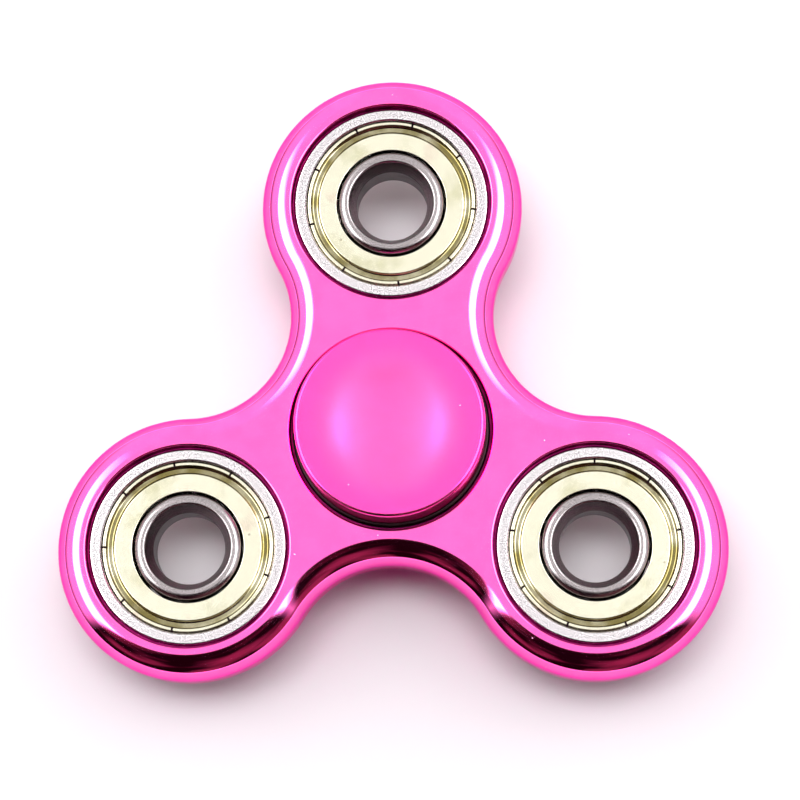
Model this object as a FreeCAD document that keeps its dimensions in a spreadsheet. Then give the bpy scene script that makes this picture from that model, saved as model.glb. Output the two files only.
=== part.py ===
import FreeCAD, Part
import math
import os
import Sketcher

# Three-lobed fidget spinner, millimetres, +Z up along the spin axis.
# The origin is where the spin axis meets the lower cap's resting face.
# Every piece is drawn about its own mid-plane and then lifted to the spinner's mid-plane.

FULL_TURN = 360
LOBE_COUNT = 3
FIRST_LOBE_ANGLE = 90
BALL_COUNT = 7
NOTCH_COUNT = 9

DIMENSIONS = {
    # moulded body
    "lobe_distance": 26.0,       # spin axis to each weight bearing's axis
    "lobe_radius": 14.75,        # outside of a lobe
    "waist_radius": 11.5,        # hollow curve between two lobes
    "body_thickness": 8.0,
    "body_edge_radius": 3.0,     # round-over of the outline, top and bottom
    "hole_relief_radius": 11.27,  # shallow gap left round the mouth of each bearing
    "hole_relief_depth": 1.3,
    "hole_lip_radius": 0.22,     # round-over of the bearing holes
    # 608 ball bearing: 8 x 22 x 7
    "bearing_radius": 11.0,
    "bore_radius": 4.0,
    "bearing_width": 7.0,
    "outer_ring_edge": 0.34,
    "bore_edge": 0.9,
    "inner_land_edge": 0.85,
    "inner_land_radius": 6.05,
    "outer_land_radius": 8.85,
    "seat_radius": 9.62,         # recess in the outer ring that holds a shield
    "seat_bevel": 0.17,
    "seat_floor": 2.6,           # height of the recess floor above the mid-plane
    "pitch_radius": 7.5,
    "ball_radius": 1.9844,
    "raceway_gap": 0.06,
    # pressed shield
    "shield_bore": 6.22,
    "shield_sheet": 0.3,
    "shield_face": 3.15,         # height of the flat ring above the mid-plane
    "shield_step_radius": 8.15,
    "shield_step": 0.2,
    "shield_channel_radius": 9.0,
    "shield_rim_inner": 9.12,
    "shield_rim_outer": 9.42,
    "shield_rim_height": 3.36,
    "notch_width": 0.22,
    "shield_turn_0": 0.0,        # degrees each bearing's shields are turned
    "shield_turn_1": -5.0,
    "shield_turn_2": 20.0,
    "shield_turn_3": 10.0,
    # pressed cage
    "cage_inner": 6.65,
    "cage_outer": 8.4,
    "cage_sheet": 0.35,
    "pocket_gap": 0.08,
    "rivet_radius": 0.28,
    "rivet_head_radius": 0.48,
    "rivet_head_height": 0.15,
    # thumb caps
    "cap_rise": 4.6,             # pressing face above the bearing's face
    "cap_radius": 10.65,
    "cap_taper": 0.15,
    "cap_edge_radius": 0.4,
    "cap_lower_edge": 0.2,
    "cap_clearance": 0.4,        # underside above the bearing's face
    "boss_radius": 5.6,
    "post_gap": 0.2,             # between the ends of the two posts
    "pin_radius": 2.0,
    "pin_reach": 4.4,            # pin's tip above the mid-plane
    "pin_end_gap": 0.3,
}

os.makedirs("parts", exist_ok=True)
doc = FreeCAD.newDocument("fidget_spinner")
sheet = doc.addObject("Spreadsheet::Sheet", "dims")
for row, (alias, value) in enumerate(DIMENSIONS.items(), start=1):
    sheet.set(f"A{row}", alias)
    sheet.set(f"B{row}", str(value))
    sheet.setAlias(f"B{row}", alias)
doc.recompute()

HALF_WIDTH = "dims.bearing_width / 2"
HALF_BODY = "dims.body_thickness / 2"
MID_HEIGHT = "dims.bearing_width / 2 + dims.cap_rise"
POCKET_RADIUS = "dims.ball_radius + dims.pocket_gap"

sub_parts = []


# ---------------------------------------------------------------- helpers

def keep(part, label, station=0, turn="0", flip=False):
    """Label a finished sub-part and bind its place to the sheet.

    station 0 is the spin axis and stations 1 to 3 are the lobes, turn is an angle about
    the bearing's axis, and flip turns the piece over about X.
    """
    part.Label = label
    if flip:
        part.Placement.Rotation = FreeCAD.Rotation(FreeCAD.Vector(1, 0, 0), 180)
    else:
        part.Placement.Rotation = FreeCAD.Rotation(FreeCAD.Vector(0, 0, 1), 1)
        part.setExpression("Placement.Rotation.Angle", f"({turn}) * 1 deg")
    if station:
        angle = FIRST_LOBE_ANGLE + (station - 1) * FULL_TURN // LOBE_COUNT
        part.setExpression("Placement.Base.x", f"dims.lobe_distance * cos({angle} deg)")
        part.setExpression("Placement.Base.y", f"dims.lobe_distance * sin({angle} deg)")
    part.setExpression("Placement.Base.z", MID_HEIGHT)
    sub_parts.append(part)


def origin_feature(body, role):
    """The body's own origin plane or axis with that role, such as XY_Plane."""
    return next(f for f in body.Origin.OriginFeatures if f.Role == role)


def new_body(name):
    """An empty PartDesign body."""
    return doc.addObject("PartDesign::Body", name)


def new_sketch(body, name, role):
    """A sketch on one of the body's own origin planes."""
    sketch = body.newObject("Sketcher::SketchObject", name)
    sketch.AttachmentSupport = [(origin_feature(body, role), "")]
    sketch.MapMode = "FlatFace"
    return sketch


def fix_point(sketch, geometry, corner, across, up):
    """Hold a sketch point at two distances from the sketch's origin, as expressions."""
    here = sketch.getPoint(geometry, corner)
    for kind, start, text in (("DistanceX", here.x, across), ("DistanceY", here.y, up)):
        index = sketch.addConstraint(Sketcher.Constraint(kind, -1, 1, geometry, corner, start))
        sketch.setExpression(f"Constraints[{index}]", text)


def polygon(sketch, corners):
    """A closed outline whose corners are (distance from axis, height) expressions."""
    count = len(corners)
    step = 2 * math.pi / count
    # a ring of start points, which the constraints then move to the corners
    points = [FreeCAD.Vector(math.cos(i * step), math.sin(i * step), 0) for i in range(count)]
    for i in range(count):
        sketch.addGeometry(Part.LineSegment(points[i], points[(i + 1) % count]), False)
    for i in range(count):
        sketch.addConstraint(Sketcher.Constraint("Coincident", i, 2, (i + 1) % count, 1))
    for i, (across, up) in enumerate(corners):
        fix_point(sketch, i, 1, across, up)


def circle(sketch, radius, across="0", up="0"):
    """A circle whose radius and centre are expressions."""
    shape = Part.Circle(FreeCAD.Vector(0, 0, 0), FreeCAD.Vector(0, 0, 1), 1)
    index = sketch.addGeometry(shape, False)
    constraint = sketch.addConstraint(Sketcher.Constraint("Radius", index, 1.0))
    sketch.setExpression(f"Constraints[{constraint}]", radius)
    fix_point(sketch, index, 3, across, up)


def turned(body, name, corners):
    """A solid of revolution about the body's Z axis."""
    sketch = new_sketch(body, f"{name}_profile", "XZ_Plane")
    polygon(sketch, corners)
    solid = body.newObject("PartDesign::Revolution", f"{name}_turned")
    solid.Profile = sketch
    solid.ReferenceAxis = (sketch, ["V_Axis"])
    solid.Angle = FULL_TURN
    doc.recompute()
    return solid


def cut_raceway(body, name):
    """Grind the ball track into a bearing ring, and check that it removed metal."""
    before = body.Shape.Volume
    sketch = new_sketch(body, f"{name}_track", "XZ_Plane")
    circle(sketch, "dims.ball_radius + dims.raceway_gap", across="dims.pitch_radius")
    groove = body.newObject("PartDesign::Groove", f"{name}_raceway")
    groove.Profile = sketch
    groove.ReferenceAxis = (sketch, ["V_Axis"])
    groove.Angle = FULL_TURN
    doc.recompute()
    if not body.Shape.Volume < before:
        raise RuntimeError(f"{name}: the raceway cuts nothing")


def pattern_last(body, name, feature, count):
    """Repeat a feature evenly about the body's Z axis."""
    pattern = body.newObject("PartDesign::PolarPattern", f"{name}_pattern")
    pattern.Originals = [feature]
    pattern.Axis = (origin_feature(body, "Z_Axis"), [""])
    pattern.Angle = FULL_TURN
    pattern.Occurrences = count
    body.Tip = pattern
    doc.recompute()


def cut_through(body, name, sketch):
    """Pocket a sketch right through the body both ways, and check that it cuts."""
    before = body.Shape.Volume
    pocket = body.newObject("PartDesign::Pocket", f"{name}_pocket")
    pocket.Profile = sketch
    pocket.SideType = "Symmetric"
    pocket.Type = "ThroughAll"
    doc.recompute()
    if not body.Shape.Volume < before:
        raise RuntimeError(f"{name}: the pocket cuts nothing")
    return pocket


def round_edges(body, name, radius_alias, wanted):
    """Fillet every circular edge whose (curve radius, height) satisfies wanted."""
    names = []
    for number, edge in enumerate(body.Shape.Edges, start=1):
        curve = edge.Curve
        if isinstance(curve, Part.Circle) and abs(curve.Axis.z) > 0.999:
            if wanted(curve.Radius, curve.Center.z):
                names.append(f"Edge{number}")
    if not names:
        raise RuntimeError(f"{name}: no edge to round")
    base = body.Tip
    fillet = body.newObject("PartDesign::Fillet", f"{name}_rounded")
    fillet.Base = (base, names)
    fillet.setExpression("Radius", f"dims.{radius_alias}")
    body.Tip = fillet
    doc.recompute()


def value(alias):
    """A driving dimension as a plain number."""
    return float(sheet.get(alias))


def near(first, second):
    """True when two lengths agree."""
    return abs(first - second) < 1e-4


# ---------------------------------------------------------------- moulded body

def trefoil_arcs():
    """Start shapes of the outline's arcs, lobe and waist in turn, and their centres."""
    lobe_distance = value("lobe_distance")
    lobe_radius = value("lobe_radius")
    waist_radius = value("waist_radius")
    up = FreeCAD.Vector(0, 0, 1)
    sector = 2 * math.pi / LOBE_COUNT
    # the hollow's centre is on the line between two lobes, where the two arcs touch
    along = lobe_distance * math.cos(sector / 2)
    aside = lobe_distance * math.sin(sector / 2)
    waist_distance = along + math.sqrt((lobe_radius + waist_radius) ** 2 - aside ** 2)

    def polar(distance, angle):
        return FreeCAD.Vector(distance * math.cos(angle), distance * math.sin(angle), 0)

    arcs = []
    for lobe in range(LOBE_COUNT):
        angle = math.radians(FIRST_LOBE_ANGLE) + lobe * sector
        centre = polar(lobe_distance, angle)
        hollow_before = polar(waist_distance, angle - sector / 2)
        hollow_after = polar(waist_distance, angle + sector / 2)
        next_centre = polar(lobe_distance, angle + sector)
        start = math.atan2(hollow_before.y - centre.y, hollow_before.x - centre.x)
        end = math.atan2(hollow_after.y - centre.y, hollow_after.x - centre.x)
        arcs.append(Part.ArcOfCircle(Part.Circle(centre, up, lobe_radius), start, end))
        start = math.atan2(next_centre.y - hollow_after.y, next_centre.x - hollow_after.x)
        end = math.atan2(centre.y - hollow_after.y, centre.x - hollow_after.x)
        arcs.append(Part.ArcOfCircle(Part.Circle(hollow_after, up, waist_radius), start, end))
    return arcs


def draw_outline(sketch):
    """Six tangent arcs: three lobes and the three hollows between them."""
    arcs = trefoil_arcs()
    for arc in arcs:
        sketch.addGeometry(arc, False)
    count = len(arcs)
    for i in range(count):
        radius = "dims.waist_radius" if i % 2 else "dims.lobe_radius"
        index = sketch.addConstraint(Sketcher.Constraint("Radius", i, arcs[i].Radius))
        sketch.setExpression(f"Constraints[{index}]", radius)
    for lobe in range(LOBE_COUNT):
        angle = FIRST_LOBE_ANGLE + lobe * FULL_TURN // LOBE_COUNT
        across = f"dims.lobe_distance * cos({angle} deg)"
        fix_point(sketch, 2 * lobe, 3, across, f"dims.lobe_distance * sin({angle} deg)")
    for lobe in range(LOBE_COUNT):
        this_lobe = 2 * lobe
        hollow = this_lobe + 1
        next_lobe = (this_lobe + 2) % count
        # every arc runs anticlockwise about its own centre, so a lobe ends at the end of
        # the hollow after it, and the next lobe starts at the start of that hollow
        sketch.addConstraint(Sketcher.Constraint("Tangent", this_lobe, 2, hollow, 2))
        sketch.addConstraint(Sketcher.Constraint("Tangent", hollow, 1, next_lobe, 1))


def cut_relief(body, name, up, sign):
    """Widen one bearing hole's mouth in the upper (+1) or lower (-1) face."""
    sketch = new_sketch(body, name, "XY_Plane")
    circle(sketch, "dims.hole_relief_radius", up=up)
    sketch.setExpression(".AttachmentOffset.Base.z", f"{sign} * dims.body_thickness / 2")
    before = body.Shape.Volume
    pocket = body.newObject("PartDesign::Pocket", f"{name}_pocket")
    pocket.Profile = sketch
    pocket.Reversed = sign < 0
    pocket.setExpression("Length", "dims.hole_relief_depth")
    doc.recompute()
    if not body.Shape.Volume < before:
        raise RuntimeError(f"{name}: the relief cuts nothing")
    return pocket


def make_body_frame():
    """The one-piece moulded body with four bearing holes."""
    body = new_body("body_frame")
    outline = new_sketch(body, "outline", "XY_Plane")
    draw_outline(outline)
    slab = body.newObject("PartDesign::Pad", "slab")
    slab.Profile = outline
    slab.SideType = "Symmetric"
    slab.setExpression("Length", "dims.body_thickness")
    doc.recompute()

    half = value("body_thickness") / 2
    sides = (value("lobe_radius"), value("waist_radius"))

    def on_outline(radius, height):
        return near(abs(height), half) and any(near(radius, side) for side in sides)

    round_edges(body, "outline", "body_edge_radius", on_outline)

    centre_hole = new_sketch(body, "centre_hole", "XY_Plane")
    circle(centre_hole, "dims.bearing_radius")
    cut_through(body, "centre_hole", centre_hole)
    lobe_hole = new_sketch(body, "lobe_hole", "XY_Plane")
    circle(lobe_hole, "dims.bearing_radius", up="dims.lobe_distance")
    pocket = cut_through(body, "lobe_hole", lobe_hole)
    pattern_last(body, "lobe_hole", pocket, LOBE_COUNT)
    for face, sign in (("upper", 1), ("lower", -1)):
        cut_relief(body, f"centre_relief_{face}", "0", sign)
        pocket = cut_relief(body, f"lobe_relief_{face}", "dims.lobe_distance", sign)
        pattern_last(body, f"lobe_relief_{face}", pocket, LOBE_COUNT)

    def on_lip(radius, height):
        return near(abs(height), half) and near(radius, value("hole_relief_radius"))

    round_edges(body, "hole_lip", "hole_lip_radius", on_lip)
    keep(body, "body_frame")


# ---------------------------------------------------------------- bearings

def make_outer_ring(prefix, station):
    """Outer ring with a ball track and a seat for a shield in each face."""
    name = f"{prefix}_outer_ring"
    upper = [
        ("dims.bearing_radius", HALF_WIDTH),
        ("dims.seat_radius + dims.seat_bevel", HALF_WIDTH),
        ("dims.seat_radius", f"{HALF_WIDTH} - dims.seat_bevel"),
        ("dims.seat_radius", "dims.seat_floor"),
        ("dims.outer_land_radius", "dims.seat_floor"),
    ]
    lower = [(across, f"-({up})") for across, up in reversed(upper)]
    body = new_body(name)
    turned(body, name, upper + lower)
    cut_raceway(body, name)
    half = value("bearing_width") / 2

    def on_rim(radius, height):
        return near(abs(height), half) and near(radius, value("bearing_radius"))

    round_edges(body, name, "outer_ring_edge", on_rim)
    keep(body, name, station)


def make_inner_ring(prefix, station):
    """Inner ring with a ball track and rounded bore edges."""
    name = f"{prefix}_inner_ring"
    upper = [
        ("dims.inner_land_radius", HALF_WIDTH),
        ("dims.bore_radius", HALF_WIDTH),
    ]
    lower = [(across, f"-({up})") for across, up in reversed(upper)]
    body = new_body(name)
    turned(body, name, upper + lower)
    cut_raceway(body, name)
    half = value("bearing_width") / 2

    def on_bore(radius, height):
        return near(abs(height), half) and near(radius, value("bore_radius"))

    def on_land(radius, height):
        return near(abs(height), half) and near(radius, value("inner_land_radius"))

    round_edges(body, f"{name}_bore", "bore_edge", on_bore)
    round_edges(body, f"{name}_land", "inner_land_edge", on_land)
    keep(body, name, station)


def make_shield(prefix, station, side, flip):
    """Pressed shield: flat ring, shallow channel and a notched rim in the ring's seat."""
    name = f"{prefix}_{side}_shield"
    face = "dims.shield_face"
    low = f"{face} - dims.shield_step"
    wall = "dims.seat_radius"
    step_end = "dims.shield_step_radius + dims.shield_step"
    corners = [
        ("dims.shield_bore", face),
        ("dims.shield_step_radius", face),
        (step_end, low),
        ("dims.shield_channel_radius", low),
        ("dims.shield_rim_inner", "dims.shield_rim_height"),
        ("dims.shield_rim_outer", "dims.shield_rim_height"),
        (wall, f"{low}"),
        (wall, "dims.seat_floor"),
        ("dims.shield_channel_radius", "dims.seat_floor"),
        (step_end, f"{low} - dims.shield_sheet"),
        ("dims.shield_step_radius", f"{face} - dims.shield_sheet"),
        ("dims.shield_bore", f"{face} - dims.shield_sheet"),
    ]
    body = new_body(name)
    turned(body, name, corners)
    # one notch through the rim and the channel's edge, then the rest by pattern
    notch = new_sketch(body, f"{name}_notch", "XY_Plane")
    notch.setExpression(".AttachmentOffset.Base.z", low)
    half_notch = "dims.notch_width / 2"
    polygon(notch, [
        ("dims.shield_channel_radius", f"-{half_notch}"),
        ("dims.bearing_radius", f"-{half_notch}"),
        ("dims.bearing_radius", half_notch),
        ("dims.shield_channel_radius", half_notch),
    ])
    before = body.Shape.Volume
    pocket = body.newObject("PartDesign::Pocket", f"{name}_slot")
    pocket.Profile = notch
    pocket.Type = "ThroughAll"
    pocket.Reversed = True
    doc.recompute()
    if not body.Shape.Volume < before:
        raise RuntimeError(f"{name}: the notch cuts nothing")
    pattern_last(body, name, pocket, NOTCH_COUNT)
    turn = f"dims.shield_turn_{station}"
    keep(body, name, station, turn=turn, flip=flip)


def cylinder(name, radius, height, base="0", across="0", along="0"):
    """An upright Part cylinder with bound size and place."""
    shape = doc.addObject("Part::Cylinder", name)
    shape.setExpression("Radius", radius)
    shape.setExpression("Height", height)
    shape.setExpression("Placement.Base.x", across)
    shape.setExpression("Placement.Base.y", along)
    shape.setExpression("Placement.Base.z", base)
    return shape


def around(index, half_step=False):
    """Bound X and Y of a ball, or of a point half-way to the next ball."""
    angle = (index + (0.5 if half_step else 0)) * FULL_TURN / BALL_COUNT
    across = f"dims.pitch_radius * cos({angle:.6f} deg)"
    along = f"dims.pitch_radius * sin({angle:.6f} deg)"
    return across, along


def sphere(name, radius, index):
    """A Part sphere where a ball sits."""
    shape = doc.addObject("Part::Sphere", name)
    across, along = around(index)
    shape.setExpression("Radius", radius)
    shape.setExpression("Placement.Base.x", across)
    shape.setExpression("Placement.Base.y", along)
    return shape


def fused(name, shapes):
    """One Part fusion of several shapes."""
    union = doc.addObject("Part::MultiFuse", name)
    union.Shapes = shapes
    return union


def cut(name, base, tool):
    """A Part cut."""
    result = doc.addObject("Part::Cut", name)
    result.Base = base
    result.Tool = tool
    return result


def make_cage_half(prefix, station, side, flip):
    """Pressed ribbon half: a flat ring with seven domes over the balls."""
    name = f"{prefix}_{side}_cage"
    dome_radius = f"{POCKET_RADIUS} + dims.cage_sheet"
    ribbon_outer = cylinder(f"{name}_flat_outer", "dims.cage_outer", "dims.cage_sheet")
    domes = [sphere(f"{name}_dome_{i}", dome_radius, i) for i in range(BALL_COUNT)]
    limit = cylinder(f"{name}_limit", "dims.cage_outer", dome_radius)
    trimmed = doc.addObject("Part::MultiCommon", f"{name}_trimmed")
    trimmed.Shapes = [fused(f"{name}_domes", domes), limit]
    blank = fused(f"{name}_blank", [ribbon_outer, trimmed])
    cutters = [sphere(f"{name}_pocket_{i}", POCKET_RADIUS, i) for i in range(BALL_COUNT)]
    cutters.append(cylinder(f"{name}_middle", "dims.cage_inner", "dims.bearing_width"))
    for i in range(BALL_COUNT):
        across, along = around(i, half_step=True)
        cutters.append(cylinder(f"{name}_rivet_hole_{i}", "dims.rivet_radius",
                                "dims.bearing_width", "0", across, along))
    half = cut(name, blank, fused(f"{name}_cutters", cutters))
    keep(half, name, station, flip=flip)


def make_balls(prefix, station):
    """Seven steel balls on the pitch circle."""
    name = f"{prefix}_balls"
    balls = doc.addObject("Part::Compound", name)
    balls.Links = [sphere(f"{name}_{i}", "dims.ball_radius", i) for i in range(BALL_COUNT)]
    keep(balls, name, station)


def make_rivets(prefix, station):
    """Seven rivets that hold the two cage halves together."""
    name = f"{prefix}_cage_rivets"
    head = "dims.rivet_head_height"
    rivets = []
    for i in range(BALL_COUNT):
        across, along = around(i, half_step=True)
        place = (across, along)
        shank = cylinder(f"{name}_shank_{i}", "dims.rivet_radius",
                         "2 * dims.cage_sheet", "-dims.cage_sheet", *place)
        upper = cylinder(f"{name}_upper_head_{i}", "dims.rivet_head_radius",
                         head, "dims.cage_sheet", *place)
        lower = cylinder(f"{name}_lower_head_{i}", "dims.rivet_head_radius",
                         head, f"-dims.cage_sheet - {head}", *place)
        rivets.append(fused(f"{name}_{i}", [shank, upper, lower]))
    group = doc.addObject("Part::Compound", name)
    group.Links = rivets
    keep(group, name, station)


def make_bearing(prefix, station):
    """A whole shielded 608 bearing at one station."""
    make_outer_ring(prefix, station)
    make_inner_ring(prefix, station)
    for side, flip in (("upper", False), ("lower", True)):
        make_shield(prefix, station, side, flip)
        make_cage_half(prefix, station, side, flip)
    make_balls(prefix, station)
    make_rivets(prefix, station)


# ---------------------------------------------------------------- thumb caps

def make_cap(name, side, inner_corners):
    """A round thumb cap whose boss rests on the centre bearing's inner ring.

    side is "" for the upper cap and "-" for the lower one, and inner_corners are the
    corners from the post's end to the axis.
    """
    face = f"{side}({HALF_WIDTH} + dims.cap_rise)"
    underside = f"{side}({HALF_WIDTH} + dims.cap_clearance)"
    shoulder = f"{side}({HALF_WIDTH})"
    corners = [
        ("0", face),
        ("dims.cap_radius - dims.cap_taper", face),
        ("dims.cap_radius", underside),
        ("dims.boss_radius", underside),
        ("dims.boss_radius", shoulder),
        ("dims.bore_radius", shoulder),
        ("dims.bore_radius", f"{side}(dims.post_gap / 2)"),
    ]
    body = new_body(name)
    turned(body, name, corners + inner_corners)
    face_height = value("bearing_width") / 2 + value("cap_rise")
    under_height = value("bearing_width") / 2 + value("cap_clearance")
    top_radius = value("cap_radius") - value("cap_taper")

    def on_face(radius, height):
        return near(abs(height), face_height) and near(radius, top_radius)

    def on_underside(radius, height):
        return near(abs(height), under_height) and near(radius, value("cap_radius"))

    round_edges(body, f"{name}_face", "cap_edge_radius", on_face)
    round_edges(body, f"{name}_underside", "cap_lower_edge", on_underside)
    keep(body, name)


def make_caps():
    """The upper cap with its socket and the lower cap with its pin."""
    socket_end = "dims.pin_reach + dims.pin_end_gap"
    make_cap("upper_cap", "", [
        ("dims.pin_radius", "dims.post_gap / 2"),
        ("dims.pin_radius", socket_end),
        ("0", socket_end),
    ])
    make_cap("lower_cap", "-", [
        ("dims.pin_radius", "-dims.post_gap / 2"),
        ("dims.pin_radius", "dims.pin_reach"),
        ("0", "dims.pin_reach"),
    ])


# ---------------------------------------------------------------- assembly

make_body_frame()
make_bearing("center", 0)
for lobe_number in range(1, LOBE_COUNT + 1):
    make_bearing(f"weight_{lobe_number}", lobe_number)
make_caps()
doc.recompute()

for item in doc.Objects:
    if "Invalid" in item.State or "Error" in item.State:
        raise RuntimeError(f"{item.Label} failed to recompute: {item.State}")
for part in sub_parts:
    if part.Shape.isNull() or not part.Shape.isValid():
        raise RuntimeError(f"{part.Label} has no valid shape")
for part in sub_parts:
    part.Shape.exportStep(f"parts/{part.Label}.step")
    box = part.Shape.BoundBox
    print(f"{part.Label:24s} {part.Shape.Volume:9.2f} mm3  solids {len(part.Shape.Solids)}"
          f"  z {box.ZMin:6.2f} to {box.ZMax:6.2f}")
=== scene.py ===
import logging
import math
from collections.abc import Sequence
from dataclasses import dataclass
from enum import Enum

import bmesh
import bpy
from mathutils import Matrix, Vector


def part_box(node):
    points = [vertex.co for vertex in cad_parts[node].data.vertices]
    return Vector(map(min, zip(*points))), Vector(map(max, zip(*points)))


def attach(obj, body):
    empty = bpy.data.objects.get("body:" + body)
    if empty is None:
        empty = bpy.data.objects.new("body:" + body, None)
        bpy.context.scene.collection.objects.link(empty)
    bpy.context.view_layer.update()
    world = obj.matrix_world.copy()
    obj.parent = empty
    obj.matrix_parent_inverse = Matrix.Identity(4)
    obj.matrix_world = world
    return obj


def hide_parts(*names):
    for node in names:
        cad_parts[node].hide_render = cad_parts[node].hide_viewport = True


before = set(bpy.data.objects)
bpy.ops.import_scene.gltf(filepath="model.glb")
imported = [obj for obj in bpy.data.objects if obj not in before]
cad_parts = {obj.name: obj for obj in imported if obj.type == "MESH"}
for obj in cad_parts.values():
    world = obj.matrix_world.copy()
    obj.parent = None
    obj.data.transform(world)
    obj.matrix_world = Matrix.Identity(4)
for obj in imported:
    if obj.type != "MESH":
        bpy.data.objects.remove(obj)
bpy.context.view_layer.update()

log = logging.getLogger("spinner")

MM = 0.001
FULL_TURN = 2 * math.pi
# a profile's corner is shaded as one smooth bend up to this turn, and as an edge beyond it
SHALLOW_TURN = math.radians(50)
# a profile's corner that turns less than this is left as it is
STRAIGHT = 1e-3
SEGMENTS = 192
# points nearer than this are one point
TOUCHING = 1e-9
NO_LENGTH = 1e-12
# the share of a hole's rounded lip that keeps the outer plating; the hole below it takes a dark plating as
# painted shade
LIT_LIP = 0.3
BUMP_DEPTH = 0.02 * MM
# degrees that the lobes' upper shields are turned by
LOBE_SHIELD_TURNS = (-5.0, 20.0, 10.0)
Rgb = tuple[float, float, float]
Band = tuple[float, float]
Place = tuple[float, float, float]
WHITE: Rgb = (1.0, 1.0, 1.0)
BOX_MIDDLE: Place = (0.5, 0.5, 0.5)
LEVEL_PART: Place = (1.0, 1.0, 0.0)


class Slot(Enum):
    """The record's material slot names."""

    BODY = "plated_pink"
    CAP = "cap_pink"
    RING = "bearing_ring"
    SHIELD = "shield"


class Side(Enum):
    """Which way up a piece is: the sign of its height about the spinner's mid-plane."""

    UPPER = 1
    LOWER = -1


# ---------------------------------------------------------------- node helpers

@dataclass
class Tree:
    """A node tree with short calls for placing and joining nodes."""

    nodes: bpy.types.Nodes
    links: bpy.types.NodeLinks

    def add(self, kind: str, **settings: object) -> bpy.types.Node:
        """Place a node.

        Args:
            kind: Blender's name of the node's type.
            settings: Properties of the node and the values that they take.

        Returns:
            The new node.
        """
        node = self.nodes.new(kind)
        for name, value in settings.items():
            setattr(node, name, value)
        return node

    def feed(self, node: bpy.types.Node, **values: object) -> bpy.types.Node:
        """Give a node's inputs a value or another node's output.

        Args:
            node: The node whose inputs are set.
            values: Input names, with _ for a space or in{number} for an index.

        Returns:
            The same node.
        """
        for name, value in values.items():
            if name.startswith("in") and name[2:].isdigit():
                socket = node.inputs[int(name[2:])]
            else:
                socket = node.inputs[name.replace("_", " ")]
            if isinstance(value, bpy.types.NodeSocket):
                self.links.new(value, socket)
            else:
                socket.default_value = value
        return node

    def math(self, operation: str, *operands: object, clamp: bool = False) -> bpy.types.NodeSocket:
        """One arithmetic step.

        Args:
            operation: Blender's name of the operation.
            operands: Numbers or sockets, in order.
            clamp: True to hold the result between 0 and 1.

        Returns:
            The result's socket.
        """
        node = self.add("ShaderNodeMath", operation=operation, use_clamp=clamp)
        for index, operand in enumerate(operands):
            self.feed(node, **{f"in{index}": operand})
        return node.outputs[0]

    def times(self, first: object, *others: object) -> bpy.types.NodeSocket:
        """The product of two or more values.

        Args:
            first: A number or socket.
            others: The numbers or sockets that it is multiplied by.

        Returns:
            The product's socket.
        """
        for other in others:
            first = self.math("MULTIPLY", first, other)
        return first

    def ramp(self, value: object, band: Band, start: float = 0.0,
             end: float = 1.0) -> bpy.types.NodeSocket:
        """A smooth step.

        Args:
            value: The socket that drives it.
            band: Where the step starts and where it ends.
            start: The result at the band's start.
            end: The result at the band's end.

        Returns:
            The result's socket.
        """
        node = self.add("ShaderNodeMapRange", interpolation_type="SMOOTHSTEP")
        self.feed(node, Value=value, From_Min=band[0], From_Max=band[1], To_Min=start, To_Max=end)
        return node.outputs["Result"]

    def mix(self, share: object, first: object, second: object) -> bpy.types.NodeSocket:
        """A mix of two colours.

        Args:
            share: How much of the second colour there is.
            first: The colour at 0.
            second: The colour at 1.

        Returns:
            The mixed colour's socket.
        """
        node = self.add("ShaderNodeMix", data_type="RGBA")
        self.feed(node, in0=share, in6=first, in7=second)
        return node.outputs[2]

    def noise(self, vector: object, scale: object, detail: float = 2.0) -> bpy.types.NodeSocket:
        """Cloudy noise from 0 to 1.

        Args:
            vector: The coordinates it is laid on.
            scale: Features per unit of those coordinates.
            detail: How many finer layers it has.

        Returns:
            The noise's value socket.
        """
        node = self.add("ShaderNodeTexNoise")
        self.feed(node, Vector=vector, Scale=scale, Detail=detail)
        return node.outputs["Fac"]

    def bump(self, height: object, strength: float) -> bpy.types.NodeSocket:
        """A normal bent by a height.

        Args:
            height: The height's socket.
            strength: How much of it shows.

        Returns:
            The normal's socket.
        """
        node = self.add("ShaderNodeBump")
        self.feed(node, Strength=strength, Distance=BUMP_DEPTH, Height=height)
        return node.outputs["Normal"]


def colour(rgb: Rgb) -> tuple[float, float, float, float]:
    """An opaque colour for a colour socket."""
    return (*rgb, 1.0)


# ---------------------------------------------------------------- shared effects

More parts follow.
